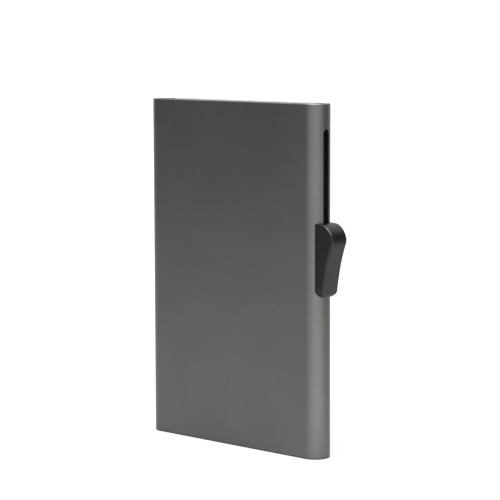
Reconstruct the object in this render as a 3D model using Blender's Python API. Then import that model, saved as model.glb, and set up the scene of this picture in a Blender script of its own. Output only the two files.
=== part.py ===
"""Slider card case: an extruded aluminium sleeve whose side slider lifts a stepped card ejector.

Metres, +Z up. The origin is the middle of the base that the case stands on. The front faces -Y, the
mouth is at the top and the slider runs in a slot in the +X side.
"""

import math

import bmesh
import bpy
from mathutils import Matrix

# Cards that the case is made for
CARD_WIDTH = 0.05398
CARD_LENGTH = 0.0856
CARD_THICKNESS = 0.00076
CARD_COUNT = 6

# Room round the cards
CARD_PLAY = 0.000225
CARD_SIDE_CLEARANCE = 0.0004
CARD_RECESS = 0.0003

# Gaps between neighbours
SEAT_GAP = 0.0003
CLOSE_GAP = 0.00015
RUN_GAP = 0.0003
CUT_OVERRUN = 0.001

# Sleeve
CASE_WALL = 0.0011
MOUTH_CHAMFER = 0.0003
RIM_EDGE_BREAK = 0.0002
BASE_EDGE_RADIUS = 0.00025

# Bottom cap
CAP_THICKNESS = 0.0023
CAP_EDGE_CHAMFER = 0.0002
CAP_PEG_RADIUS = 0.0009
CAP_PEG_HEIGHT = 0.0022

# Side mouldings
RAIL_WIDTH = 0.00521
TRACK_CARD_WALL = 0.001
MOUTH_INSERT_HEIGHT = 0.00515
MOUTH_INSERT_RECESS = 0.00005
MOUTH_LEAD_IN = 0.0008
SLOT_TOP_LAND = 0.0017

# Carriage: runner, ejector and the pins that join them
SLIDE_TRAVEL = 0.028
RUNNER_WIDTH = 0.0032
RUNNER_THICKNESS = 0.0022
RUNNER_END_WALL = 0.0009
BLADE_THICKNESS = 0.0018
EJECTOR_BLADE_HEIGHT = 0.008
EJECTOR_ROOT = 0.0006
FOOT_THICKNESS = 0.002
STEP_RISE = 0.0023
PIN_RADIUS = 0.0004
PIN_GAP = 0.0001
PIN_CHAMFER = 0.0001
EJECTOR_PIN_INSET = 0.002
KNOB_PIN_INSET = 0.003
BUMPER_THICKNESS = 0.0015

# Knob
TONGUE_HEIGHT = 0.0165
TONGUE_SHOULDER = 0.0015
TONGUE_ROOT = 0.0006
SLOT_END_CLEARANCE = 0.0007
KNOB_HEIGHT = 0.02115
KNOB_TOP_OVERHANG = 0.00205
KNOB_WIDTH = 0.00686
KNOB_DRAFT_DEGREES = 2.6
KNOB_REACH = 0.00512
KNOB_DOME_RADIUS = 0.00546
KNOB_TOE_REACH = 0.00175
KNOB_TOE_RADIUS = 0.0016
KNOB_FACE_BEND_DEGREES = 10.9
KNOB_TOE_CORNER = 0.00205
KNOB_TOP_CORNER = 0.0005
KNOB_EDGE_HEIGHT_SHARES = (0.0, 0.2, 0.5, 0.66, 0.8, 1.0)
KNOB_EDGE_RADII = (0.001, 0.0012, 0.0015, 0.00155, 0.00055, 0.00045)
KNOB_EDGE_LIMIT_SHARE = 0.75

# Springs and felt
LEAF_THICKNESS = 0.0002
LEAF_TOUCH_GAP = 0.00005
LEAF_FOOT = 0.0012
EDGE_SPRING_COUNT = 2
EDGE_SPRING_SPACING = 0.004
EDGE_SPRING_WIDTH = 0.0032
EDGE_SPRING_PROUD = 0.0003
EDGE_POCKET_DEPTH = 0.0015
DETENT_LENGTH = 0.018
DETENT_POCKET_DEPTH = 0.0009
DETENT_SIDE_GAP = 0.0002
FELT_THICKNESS = 0.0005
FELT_HEIGHT = 0.0105
FELT_SIDE_MARGIN = 0.0024
FELT_TOP_MARGIN = 0.005
FELT_CORNER_RADIUS = 0.001
FELT_GLUE_LINE = 0.0001

# Facets of a half round, a small corner and a pin
ROUND_STEPS = 24
CORNER_STEPS = 4
PIN_SIDES = 16
SHARP_DEGREES = 32.0
ROUND_PROFILE_SHARE = 0.5

# Across the case
compartment_half_width = CARD_WIDTH / 2 + CARD_SIDE_CLEARANCE
compartment_half_depth = CARD_COUNT * (CARD_THICKNESS + CARD_PLAY) / 2 + RUN_GAP
case_half_width = compartment_half_width + RAIL_WIDTH + SEAT_GAP + CASE_WALL
case_half_depth = compartment_half_depth + CASE_WALL
round_x = case_half_width - case_half_depth

# Up the case
foot_bottom = CAP_THICKNESS + RUN_GAP
rail_bottom = CAP_THICKNESS + SEAT_GAP
step_tops = [foot_bottom + FOOT_THICKNESS + i * STEP_RISE for i in range(CARD_COUNT)]
case_height = step_tops[-1] + CARD_LENGTH + CARD_RECESS
insert_top = case_height - MOUTH_INSERT_RECESS
insert_bottom = insert_top - MOUTH_INSERT_HEIGHT
rail_top = insert_bottom - SEAT_GAP

# Runner channel in the track
channel_low_x = compartment_half_width + TRACK_CARD_WALL
channel_high_x = channel_low_x + RUNNER_THICKNESS + 2 * RUN_GAP
channel_half_y = RUNNER_WIDTH / 2 + RUN_GAP
runner_low_x = channel_low_x + RUN_GAP
runner_high_x = channel_high_x - RUN_GAP
slot_half_width = BLADE_THICKNESS / 2 + RUN_GAP

# Slot and tongue
slot_top = rail_top - SLOT_TOP_LAND
tongue_top = slot_top - SLOT_END_CLEARANCE - SLIDE_TRAVEL
tongue_bottom = tongue_top - TONGUE_HEIGHT
slot_bottom = tongue_bottom - SLOT_END_CLEARANCE
knob_top = tongue_top + KNOB_TOP_OVERHANG
knob_bottom = knob_top - KNOB_HEIGHT

# Runner, with the ejector's blade low in it and the knob's blade near its top
bumper_top = rail_bottom + BUMPER_THICKNESS
runner_bottom = bumper_top + RUN_GAP
ejector_blade_bottom = runner_bottom + RUNNER_END_WALL + CLOSE_GAP
ejector_blade_top = ejector_blade_bottom + EJECTOR_BLADE_HEIGHT
knob_blade_bottom = tongue_bottom + TONGUE_SHOULDER
knob_blade_top = tongue_top - TONGUE_SHOULDER
runner_top = knob_blade_top + CLOSE_GAP + RUNNER_END_WALL
ejector_blade_x = (runner_low_x, runner_high_x - RUN_GAP)
knob_blade_x = (runner_low_x + RUN_GAP, runner_high_x)


def arc(centre, radius, start, end, steps):
    """Points on an arc from start to end, in degrees, both ends included."""
    angles = [math.radians(start + (end - start) * i / steps) for i in range(steps + 1)]
    return [(centre[0] + radius * math.cos(a), centre[1] + radius * math.sin(a)) for a in angles]


def stadium(inset, steps=ROUND_STEPS):
    """The case's outline from above, drawn in by an inset."""
    radius = case_half_depth - inset
    right = arc((round_x, 0), radius, -90, 90, steps)
    left = arc((-round_x, 0), radius, 90, 270, steps)
    return right + left


def side_outline(gap, steps=ROUND_STEPS):
    """The D that fills the case's right round side, from the compartment to the wall less a gap."""
    radius = compartment_half_depth - gap
    flat = [(compartment_half_width, radius), (compartment_half_width, -radius)]
    return flat + arc((round_x, 0), radius, -90, 90, steps)


def mirrored(outline):
    return [(-x, y) for x, y in reversed(outline)]


def rectangle(low, high):
    return [(low[0], low[1]), (high[0], low[1]), (high[0], high[1]), (low[0], high[1])]


def rounded_rectangle(low, high, radius, steps=CORNER_STEPS):
    corners = [
        ((high[0] - radius, low[1] + radius), -90),
        ((high[0] - radius, high[1] - radius), 0),
        ((low[0] + radius, high[1] - radius), 90),
        ((low[0] + radius, low[1] + radius), 180),
    ]
    points = []
    for centre, start in corners:
        points += arc(centre, radius, start, start + 90, steps)
    return points


def upright_slot(half_width, bottom, top, steps=CORNER_STEPS * 2):
    """A round-ended slot outline that stands between two heights."""
    lower = arc((0, bottom + half_width), half_width, 180, 360, steps)
    upper = arc((0, top - half_width), half_width, 0, 180, steps)
    return lower + upper


def leaf_outline(ends, foot, crest, seat, steps=CORNER_STEPS * 3):
    """A bowed leaf spring from the side: two feet on the seat and a smooth rise to the crest."""
    low, high = ends
    rise = crest - math.copysign(LEAF_THICKNESS, crest - seat) - seat
    inner = [(seat, low)]
    for i in range(steps + 1):
        share = i / steps
        height = low + foot + (high - low - 2 * foot) * share
        inner.append((seat + rise * (1 - math.cos(2 * math.pi * share)) / 2, height))
    inner.append((seat, high))
    thickness = math.copysign(LEAF_THICKNESS, crest - seat)
    outer = [(across + thickness, height) for across, height in reversed(inner)]
    return inner + outer


def loft(rings, closed=False):
    """A mesh through rings of equally many points; closed joins the last ring to the first."""
    bm = bmesh.new()
    loops = [[bm.verts.new(point) for point in ring] for ring in rings]
    pairs = list(zip(loops, loops[1:]))
    if closed:
        pairs.append((loops[-1], loops[0]))
    else:
        bm.faces.new(loops[0])
        bm.faces.new(loops[-1])
    for first, second in pairs:
        for i in range(len(first)):
            j = (i + 1) % len(first)
            bm.faces.new((first[i], first[j], second[j], second[i]))
    bmesh.ops.recalc_face_normals(bm, faces=bm.faces)
    return bm


def prism(outline, low, high, axis="Z"):
    """An outline pushed along an axis. It is given as (x, y), or (x, z) along Y, or (y, z) along X."""
    place = {
        "X": lambda u, v, w: (w, u, v),
        "Y": lambda u, v, w: (u, w, v),
        "Z": lambda u, v, w: (u, v, w),
    }[axis]
    return loft([[place(u, v, w) for u, v in outline] for w in (low, high)])


def level_rings(levels):
    """Rings of the case's outline, from (inset, height) pairs."""
    return [[(x, y, height) for x, y in stadium(inset)] for inset, height in levels]


def make_finish(name, colour, roughness, metallic=0.0):
    finish = bpy.data.materials.new(name)
    finish.use_nodes = True
    shader = finish.node_tree.nodes["Principled BSDF"]
    shader.inputs["Base Color"].default_value = (*colour, 1.0)
    shader.inputs["Roughness"].default_value = roughness
    shader.inputs["Metallic"].default_value = metallic
    return finish


def add_object(name, bm, finish=None, parent=None):
    """A named object from a mesh in progress, shaded smooth between its sharp edges."""
    mesh = bpy.data.meshes.new(name)
    bm.to_mesh(mesh)
    bm.free()
    mesh.shade_smooth()
    mesh.set_sharp_from_angle(angle=math.radians(SHARP_DEGREES))
    if finish:
        mesh.materials.append(finish)
    return place_object(name, mesh, parent)


def place_object(name, mesh, parent=None):
    obj = bpy.data.objects.new(name, mesh)
    bpy.context.scene.collection.objects.link(obj)
    if parent:
        obj.parent = parent
        obj.matrix_parent_inverse = parent.matrix_basis.inverted()
    return obj


def add_helper(name, bm):
    helper = add_object(name, bm)
    helper.hide_render = True
    helper.display_type = "WIRE"
    return helper


def combine(target, operation, helper):
    boolean = target.modifiers.new(helper.name, "BOOLEAN")
    boolean.operation = operation
    boolean.object = helper


def cut(target, name, bm):
    combine(target, "DIFFERENCE", add_helper(name, bm))


def join(target, name, bm):
    combine(target, "UNION", add_helper(name, bm))


def round_over(bm, edges, radius, steps):
    bmesh.ops.bevel(
        bm, geom=edges, offset=radius, segments=steps, profile=ROUND_PROFILE_SHARE, affect="EDGES"
    )


def pin_mesh(radius, length, chamfer=0.0):
    """A round pin that lies along Y, with its centre at the origin."""
    bm = bmesh.new()
    bmesh.ops.create_cone(
        bm, cap_ends=True, segments=PIN_SIDES, radius1=radius, radius2=radius, depth=length
    )
    rims = [edge for edge in bm.edges if edge.verts[0].co.z * edge.verts[1].co.z > 0]
    if chamfer:
        round_over(bm, rims, chamfer, 1)
    bmesh.ops.rotate(bm, verts=bm.verts, matrix=Matrix.Rotation(math.pi / 2, 3, "X"))
    return bm


def pin_hole(x, z):
    bm = pin_mesh(PIN_RADIUS + PIN_GAP, 2 * case_half_depth)
    bmesh.ops.translate(bm, verts=bm.verts, vec=(x, 0, z))
    return bm


def pin_places(blade_x, blade_bottom, blade_top, inset):
    """Centres of the lower and upper pin through a blade, as (x, z)."""
    middle = sum(blade_x) / 2
    return [(middle, blade_bottom + inset), (middle, blade_top - inset)]


def ejector_pins():
    return pin_places(ejector_blade_x, ejector_blade_bottom, ejector_blade_top, EJECTOR_PIN_INSET)


def knob_pins():
    return pin_places(knob_blade_x, knob_blade_bottom, knob_blade_top, KNOB_PIN_INSET)


def make_case_sleeve(finish):
    base = arc((BASE_EDGE_RADIUS, BASE_EDGE_RADIUS), BASE_EDGE_RADIUS, 270, 180, CORNER_STEPS)
    outside = [
        *base,
        (0, case_height - RIM_EDGE_BREAK),
        (RIM_EDGE_BREAK, case_height),
    ]
    inside = [
        (CASE_WALL - MOUTH_CHAMFER, case_height),
        (CASE_WALL, case_height - MOUTH_CHAMFER),
        (CASE_WALL, 0),
    ]
    sleeve = add_object("case_sleeve", loft(level_rings(outside + inside), closed=True), finish)
    slot = upright_slot(slot_half_width, slot_bottom, slot_top)
    cut(sleeve, "slot_cutter", prism(slot, round_x, case_half_width + CUT_OVERRUN, "X"))


def make_bottom_cap(finish):
    inset = CASE_WALL + CLOSE_GAP
    levels = [
        (inset + CAP_EDGE_CHAMFER, 0),
        (inset, CAP_EDGE_CHAMFER),
        (inset, CAP_THICKNESS - CAP_EDGE_CHAMFER),
        (inset + CAP_EDGE_CHAMFER, CAP_THICKNESS),
    ]
    cap = add_object("bottom_cap", loft(level_rings(levels)), finish)
    peg = arc((-round_x, 0), CAP_PEG_RADIUS, 0, 360, PIN_SIDES)[:-1]
    join(cap, "cap_peg", prism(peg, CAP_THICKNESS / 2, CAP_THICKNESS + CAP_PEG_HEIGHT))


def edge_spring_spans():
    """Heights between which each edge spring lies, clear above the raised ejector."""
    low = step_tops[-1] + SLIDE_TRAVEL + EDGE_SPRING_SPACING
    pitch = (rail_top - low) / EDGE_SPRING_COUNT
    lows = [low + i * pitch for i in range(EDGE_SPRING_COUNT)]
    return [(start, start + pitch - EDGE_SPRING_SPACING) for start in lows]


def make_left_guide_rail(finish):
    rail = add_object(
        "left_guide_rail", prism(mirrored(side_outline(SEAT_GAP)), rail_bottom, rail_top), finish
    )
    peg_hole = arc((-round_x, 0), CAP_PEG_RADIUS + CLOSE_GAP, 0, 360, PIN_SIDES)[:-1]
    hole_top = CAP_THICKNESS + CAP_PEG_HEIGHT + SEAT_GAP
    cut(rail, "peg_hole_cutter", prism(peg_hole, rail_bottom - CUT_OVERRUN, hole_top))
    half_width = EDGE_SPRING_WIDTH / 2 + CLOSE_GAP
    floor_x = -compartment_half_width - EDGE_POCKET_DEPTH
    for i, (low, high) in enumerate(edge_spring_spans()):
        pocket = rectangle(
            (floor_x, low - CLOSE_GAP), (CUT_OVERRUN - compartment_half_width, high + CLOSE_GAP)
        )
        cut(rail, f"spring_pocket_cutter_{i}", prism(pocket, -half_width, half_width, "Y"))


def make_slider_track(finish):
    track = add_object(
        "slider_track", prism(side_outline(SEAT_GAP), rail_bottom, rail_top), finish
    )
    below = rail_bottom - CUT_OVERRUN
    channel = rectangle((channel_low_x, -channel_half_y), (channel_high_x, channel_half_y))
    cut(track, "channel_cutter", prism(channel, below, rail_top + CUT_OVERRUN))
    outer_slit = upright_slot(slot_half_width, slot_bottom - SEAT_GAP, slot_top + SEAT_GAP)
    channel_middle_x = (channel_low_x + channel_high_x) / 2
    cut(track, "outer_slit_cutter", prism(outer_slit, channel_middle_x, case_half_width, "X"))
    slit_top = ejector_blade_top + SLIDE_TRAVEL + RUN_GAP
    card_slit = rectangle((-slot_half_width, below), (slot_half_width, slit_top))
    slit_low_x = compartment_half_width - CUT_OVERRUN
    cut(track, "card_slit_cutter", prism(card_slit, slit_low_x, channel_middle_x, "X"))


def make_mouth_inserts(finish):
    right = side_outline(CLOSE_GAP)
    for name, outline, side in (
        ("left_mouth_insert", mirrored(right), -1),
        ("right_mouth_insert", right, 1),
    ):
        bm = prism(outline, insert_bottom, insert_top)
        lead = [
            edge
            for edge in bm.edges
            if all(
                math.isclose(v.co.x, side * compartment_half_width, abs_tol=CLOSE_GAP)
                and v.co.z > (insert_bottom + insert_top) / 2
                for v in edge.verts
            )
        ]
        round_over(bm, lead, MOUTH_LEAD_IN, CORNER_STEPS)
        add_object(name, bm, finish)


def make_felt_strips(finish):
    half_width = compartment_half_width - FELT_SIDE_MARGIN
    top = case_height - FELT_TOP_MARGIN
    outline = rounded_rectangle(
        (-half_width, top - FELT_HEIGHT), (half_width, top), FELT_CORNER_RADIUS
    )
    outer = compartment_half_depth - FELT_GLUE_LINE
    for name, side in (("front_felt_strip", -1), ("rear_felt_strip", 1)):
        faces = sorted((side * outer, side * (outer - FELT_THICKNESS)))
        add_object(name, prism(outline, *faces, "Y"), finish)


def make_edge_springs(finish):
    seat = -compartment_half_width - EDGE_POCKET_DEPTH + CLOSE_GAP
    crest = -compartment_half_width + EDGE_SPRING_PROUD
    half_width = EDGE_SPRING_WIDTH / 2
    for name, span in zip(("edge_spring_lower", "edge_spring_upper"), edge_spring_spans()):
        outline = leaf_outline(span, LEAF_FOOT, crest, seat)
        add_object(name, prism(outline, -half_width, half_width, "Y"), finish)


def make_track_bumpers(finish):
    low = (channel_low_x + CLOSE_GAP, CLOSE_GAP - channel_half_y)
    high = (channel_high_x - CLOSE_GAP, channel_half_y - CLOSE_GAP)
    runner_limit = runner_top + SLIDE_TRAVEL + RUN_GAP
    for name, bottom, top in (
        ("track_bumper_lower", rail_bottom, bumper_top),
        ("track_bumper_upper", runner_limit, insert_bottom - SEAT_GAP),
    ):
        add_object(name, prism(rectangle(low, high), bottom, top), finish)


def detent_span():
    """Heights between which the detent spring lies, midway between the runner's two windows."""
    middle = (ejector_blade_top + knob_blade_bottom) / 2
    return (middle - DETENT_LENGTH / 2, middle + DETENT_LENGTH / 2)


def make_runner_bar(finish, carriage):
    outline = rectangle((runner_low_x, -RUNNER_WIDTH / 2), (runner_high_x, RUNNER_WIDTH / 2))
    runner = add_object("runner_bar", prism(outline, runner_bottom, runner_top), finish, carriage)
    half_window = BLADE_THICKNESS / 2 + CLOSE_GAP
    through_x = (channel_low_x, channel_high_x)
    for name, bottom, top in (
        ("ejector_window_cutter", ejector_blade_bottom, ejector_blade_top),
        ("knob_window_cutter", knob_blade_bottom, knob_blade_top),
    ):
        window = rectangle((-half_window, bottom - CLOSE_GAP), (half_window, top + CLOSE_GAP))
        cut(runner, name, prism(window, *through_x, "X"))
    low, high = detent_span()
    floor_y = DETENT_POCKET_DEPTH - RUNNER_WIDTH / 2
    pocket = rectangle((-channel_half_y, low - CLOSE_GAP), (floor_y, high + CLOSE_GAP))
    cut(runner, "detent_pocket_cutter", prism(pocket, *through_x, "X"))
    for i, (x, z) in enumerate(ejector_pins() + knob_pins()):
        cut(runner, f"runner_pin_hole_{i}", pin_hole(x, z))


def make_detent_spring(finish, carriage):
    seat = DETENT_POCKET_DEPTH - RUNNER_WIDTH / 2 - CLOSE_GAP
    crest = LEAF_TOUCH_GAP - channel_half_y
    outline = leaf_outline(detent_span(), LEAF_FOOT, crest, seat)
    sides = (runner_low_x + DETENT_SIDE_GAP, runner_high_x - DETENT_SIDE_GAP)
    add_object("detent_spring", prism(outline, *sides, "X"), finish, carriage)


def make_step_ejector(finish, carriage):
    """The foot's steps rise towards the back, one for each card, over a groove that thins it."""
    pitch = CARD_THICKNESS + CARD_PLAY
    front = -CARD_COUNT * pitch / 2
    steps = []
    for i, top in enumerate(step_tops):
        steps += [(front + i * pitch, top), (front + (i + 1) * pitch, top)]
    groove_top = step_tops[CARD_COUNT // 2 - 1] - FOOT_THICKNESS
    groove = [
        (-front - pitch, foot_bottom),
        (-front - pitch, groove_top),
        (0, groove_top),
        (0, foot_bottom),
    ]
    outline = [(front, foot_bottom), *steps, (-front, foot_bottom), *groove]
    foot_end_x = compartment_half_width - RUN_GAP
    ejector = add_object(
        "step_ejector", prism(outline, -foot_end_x, foot_end_x, "X"), finish, carriage
    )
    arm_top = (step_tops[CARD_COUNT // 2 - 1] + step_tops[CARD_COUNT // 2 - 2]) / 2
    tall_x = compartment_half_width + RUN_GAP
    blade = [
        (foot_end_x - EJECTOR_ROOT, ejector_blade_bottom),
        (ejector_blade_x[1], ejector_blade_bottom),
        (ejector_blade_x[1], ejector_blade_top),
        (tall_x, ejector_blade_top),
        (tall_x, arm_top),
        (foot_end_x - EJECTOR_ROOT, arm_top),
    ]
    join(ejector, "ejector_blade", prism(blade, -BLADE_THICKNESS / 2, BLADE_THICKNESS / 2, "Y"))
    for i, (x, z) in enumerate(ejector_pins()):
        cut(ejector, f"ejector_pin_hole_{i}", pin_hole(x, z))


def make_pins(finish, carriage):
    """All four pins share one mesh."""
    bm = pin_mesh(PIN_RADIUS, RUNNER_WIDTH - 2 * PIN_GAP, PIN_CHAMFER)
    names = ("ejector_dowel_lower", "ejector_dowel_upper", "knob_pin_lower", "knob_pin_upper")
    mesh = None
    for name, (x, z) in zip(names, ejector_pins() + knob_pins()):
        pin = place_object(name, mesh, carriage) if mesh else add_object(name, bm, finish, carriage)
        pin.location = (x, 0, z)
        mesh = pin.data


def knob_profile(steps=CORNER_STEPS):
    """The knob's outer edge from the side, as (x, z) from the toe's underside to the top.

    The toe and the dome are arcs. The thumb face between them is a hollow curve, tangent to both.
    """
    dome = (case_half_width + KNOB_REACH - KNOB_DOME_RADIUS, knob_top - KNOB_DOME_RADIUS)
    toe = (case_half_width + KNOB_TOE_REACH - KNOB_TOE_RADIUS, knob_bottom + KNOB_TOE_RADIUS)
    across, up = dome[0] - toe[0], dome[1] - toe[1]
    lean = math.atan2(across, up) + math.asin(
        (KNOB_DOME_RADIUS - KNOB_TOE_RADIUS) / math.hypot(across, up)
    )
    toe_end = math.degrees(lean) - KNOB_FACE_BEND_DEGREES / 2
    dome_start = math.degrees(lean) + KNOB_FACE_BEND_DEGREES / 2
    lower = arc(toe, KNOB_TOE_RADIUS, -90, -toe_end, steps)
    upper = arc(dome, KNOB_DOME_RADIUS, -dome_start, 90, steps * 3)
    control = tangents_meet(lower[-1], toe_end, upper[0], dome_start)
    face = []
    for i in range(1, steps * 2):
        share = i / (steps * 2)
        weights = ((1 - share) ** 2, 2 * share * (1 - share), share**2)
        points = (lower[-1], control, upper[0])
        face.append(tuple(sum(w * p[k] for w, p in zip(weights, points)) for k in (0, 1)))
    return lower + face + upper


def tangents_meet(low, low_lean, high, high_lean):
    """Where lines through two points cross, each leaning outwards from upright, in degrees."""
    low_slope = math.tan(math.radians(low_lean))
    high_slope = math.tan(math.radians(high_lean))
    z = (high[0] - low[0] - high_slope * high[1] + low_slope * low[1]) / (low_slope - high_slope)
    return (low[0] + low_slope * (z - low[1]), z)


def corner_inset(distance, radius):
    """How far a rounded corner has drawn in at this distance from the end."""
    distance = max(distance, 0)
    if distance >= radius:
        return 0
    return radius - math.sqrt(radius**2 - (radius - distance) ** 2)


def knob_edge_radius(height_share):
    """The radius of the knob's long outer edges: soft along the thumb face and tight on the dome."""
    stations = list(zip(KNOB_EDGE_HEIGHT_SHARES, KNOB_EDGE_RADII))
    for (low, first), (high, last) in zip(stations, stations[1:]):
        if height_share <= high:
            part = (height_share - low) / (high - low)
            return first + (last - first) * part**2 * (3 - 2 * part)
    return KNOB_EDGE_RADII[-1]


def knob_ring(x, z, core_x, steps=CORNER_STEPS):
    """One level section of the knob: drafted sides, rounded outer corners, flat towards the case."""
    half = KNOB_WIDTH / 2
    half -= corner_inset(z - knob_bottom, KNOB_TOE_CORNER)
    half -= corner_inset(knob_top - z, KNOB_TOP_CORNER)
    draft = math.tan(math.radians(KNOB_DRAFT_DEGREES))
    tip = half - draft * max(x - case_half_width, 0)
    wall_x = round_x + math.sqrt(case_half_depth**2 - half**2)
    height_share = (z - knob_bottom) / KNOB_HEIGHT
    radius = min(knob_edge_radius(height_share), tip * KNOB_EDGE_LIMIT_SHARE, x - wall_x)
    front = arc((x - radius, radius - tip), radius, -90, 0, steps)
    back = arc((x - radius, tip - radius), radius, 0, 90, steps)
    near = [(core_x, -half), (wall_x, -half)]
    far = [(wall_x, half), (core_x, half)]
    return [(u, v, z) for u, v in [*near, *front, *back, *far]]


def make_slider_knob(finish, carriage):
    core_x = round_x + case_half_depth / 4
    rings = [knob_ring(x, z, core_x) for x, z in knob_profile()]
    knob = add_object("slider_knob", loft(rings), finish, carriage)
    saddle = arc((round_x, 0), case_half_depth + CLOSE_GAP, 0, 360, ROUND_STEPS * 2)[:-1]
    saddle_cutter = prism(saddle, knob_bottom - CUT_OVERRUN, knob_top + CUT_OVERRUN)
    cut(knob, "saddle_cutter", saddle_cutter)
    neck_x = (knob_blade_x[1] + CLOSE_GAP, case_half_width + CLOSE_GAP + TONGUE_ROOT)
    tongue = [
        (neck_x[0], tongue_bottom),
        (neck_x[1], tongue_bottom),
        (neck_x[1], tongue_top),
        (neck_x[0], tongue_top),
        (neck_x[0], knob_blade_top),
        (knob_blade_x[0], knob_blade_top),
        (knob_blade_x[0], knob_blade_bottom),
        (neck_x[0], knob_blade_bottom),
    ]
    join(knob, "knob_tongue", prism(tongue, -BLADE_THICKNESS / 2, BLADE_THICKNESS / 2, "Y"))
    for i, (x, z) in enumerate(knob_pins()):
        cut(knob, f"knob_pin_hole_{i}", pin_hole(x, z))


def make_carriage_empty():
    """The empty that carries the moving pieces, on the slide's axis in the middle of the slot."""
    carriage = bpy.data.objects.new("carriage", None)
    carriage.location = (case_half_width, 0, 0)
    bpy.context.scene.collection.objects.link(carriage)
    return carriage


def clear_scene():
    for obj in list(bpy.data.objects):
        bpy.data.objects.remove(obj)


def main():
    clear_scene()
    aluminium = make_finish("anodised_aluminium", (0.19, 0.19, 0.185), 0.4, 1.0)
    black = make_finish("black_moulding", (0.012, 0.0115, 0.0115), 0.4)
    grey = make_finish("grey_moulding", (0.05, 0.05, 0.05), 0.55)
    acetal = make_finish("acetal", (0.6, 0.6, 0.58), 0.4)
    felt = make_finish("felt", (0.03, 0.03, 0.03), 0.95)
    steel = make_finish("spring_steel", (0.55, 0.55, 0.55), 0.3, 1.0)
    rubber = make_finish("rubber", (0.02, 0.02, 0.02), 0.8)
    make_case_sleeve(aluminium)
    make_bottom_cap(black)
    make_left_guide_rail(grey)
    make_slider_track(grey)
    make_mouth_inserts(grey)
    make_felt_strips(felt)
    make_edge_springs(steel)
    make_track_bumpers(rubber)
    carriage = make_carriage_empty()
    make_runner_bar(acetal, carriage)
    make_detent_spring(steel, carriage)
    make_step_ejector(acetal, carriage)
    make_pins(steel, carriage)
    make_slider_knob(black, carriage)


main()
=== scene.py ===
"""Looks of the slider card case: finishes, fine surfaces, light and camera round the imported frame.

Metres, +Z up. The front faces -Y, the card mouth is at the top and the slider runs on the +X side.
"""

import math

import bmesh
import bpy
from mathutils import Matrix, Vector, noise


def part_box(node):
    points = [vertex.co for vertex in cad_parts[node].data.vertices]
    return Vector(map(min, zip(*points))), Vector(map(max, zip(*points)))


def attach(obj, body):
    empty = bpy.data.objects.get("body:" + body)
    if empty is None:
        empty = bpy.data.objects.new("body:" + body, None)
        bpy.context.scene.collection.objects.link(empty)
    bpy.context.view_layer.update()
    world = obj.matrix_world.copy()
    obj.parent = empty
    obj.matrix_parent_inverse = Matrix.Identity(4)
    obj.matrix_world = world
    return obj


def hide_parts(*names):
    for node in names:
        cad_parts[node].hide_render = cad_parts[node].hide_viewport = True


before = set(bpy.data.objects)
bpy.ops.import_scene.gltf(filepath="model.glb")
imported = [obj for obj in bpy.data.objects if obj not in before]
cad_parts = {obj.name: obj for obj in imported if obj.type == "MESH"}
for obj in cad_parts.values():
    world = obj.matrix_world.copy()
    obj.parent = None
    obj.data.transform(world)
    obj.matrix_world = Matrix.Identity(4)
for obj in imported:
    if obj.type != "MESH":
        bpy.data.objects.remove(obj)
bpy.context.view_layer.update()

# The frame's own sizes
half_width, half_depth, case_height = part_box("case_sleeve")[1]
round_x = half_width - half_depth
knob_low, knob_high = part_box("slider_knob")

# Allowances: a gap too small to see, and how near two points are when they count as one
CLEAR = 1e-6
MERGE = 1e-5

# Camera: its place, its turn in degrees, its lens and sensor in millimetres, its shift and its reach
CAMERA_PLACE = (0.407121, -0.433491, 0.126386)
CAMERA_AZIMUTH = 42.737
CAMERA_ELEVATION = 6.669
CAMERA_ROLL = -0.149
CAMERA_LENS = 145.737
CAMERA_SENSOR = 36
CAMERA_SHIFT = (-0.0116, 0.0069)
CAMERA_CLIP = (0.01, 20)

# Studio: a strength of 1 looks white, and the shades are dark boards that the metal reflects
WHITE_SEEN = 1.0
FILL_LIGHT = 0.45
KEY_BOX = {"azimuth": 46, "elevation": 20, "distance": 0.95, "size": (0.8, 0.8), "radiance": 0.3}
TOP_BOX = {"azimuth": 12, "elevation": 80, "distance": 1.0, "size": (0.74, 0.74), "radiance": 4.0}
LEFT_SHADE = {
    "azimuth": -45, "distance": 0.6, "half_span": 0.42, "bottom": 0, "top": 0.45, "colour": 0.07
}
RIGHT_SHADE = {
    "azimuth": 127, "distance": 0.58, "half_span": 0.33, "bottom": 0.015, "top": 0.7, "colour": 0.12
}

# Floor: each light goes from its first strength to its second over its reach. Gloss alone sees
# painted light on the paper, standing in for a reflector card and a wide glow, and painted shade, black,
# where the case meets it.
FLOOR_HALF = 3.0
FLOOR_COLOUR = 0.5
FLOOR_LIFT = (0.66, 1.0)
FLOOR_LIFT_REACH = (0.05, 0.6)
# Painted light: for gloss alone, the paper glows round this centre and round a card's place, where no lamp
# is
GLOW_CENTRE = (0.06, 0.03, 0)
GLOW_LIGHT = (0.26, 0.36)
GLOW_REACH = (0.05, 0.17)
CARD_AZIMUTH = 70
CARD_DISTANCE = 0.15
CARD_LIGHT = (0.82, 0)
CARD_REACH = (0.05, 0.15)
# Painted shade: how far from the case gloss sees the paper black
FLOOR_CONTACT_SHADE = 0.0012

# Sleeve
WALL = 0.0011
MOUTH_CHAMFER = 0.0003
RIM_EDGE_BREAK = 0.0002
BASE_EDGE_RADIUS = 0.00025
BASE_EDGE_STEPS = 6
SLOT_HALF_WIDTH = 0.0012
SLOT_BOTTOM = 0.0489
SLOT_TOP = 0.0948
SLOT_EDGE_BREAK = 0.00006
SLOT_END_STEPS = 12
SUPPORT_GAP = 0.0003
ROUND_STEPS = 32
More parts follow.
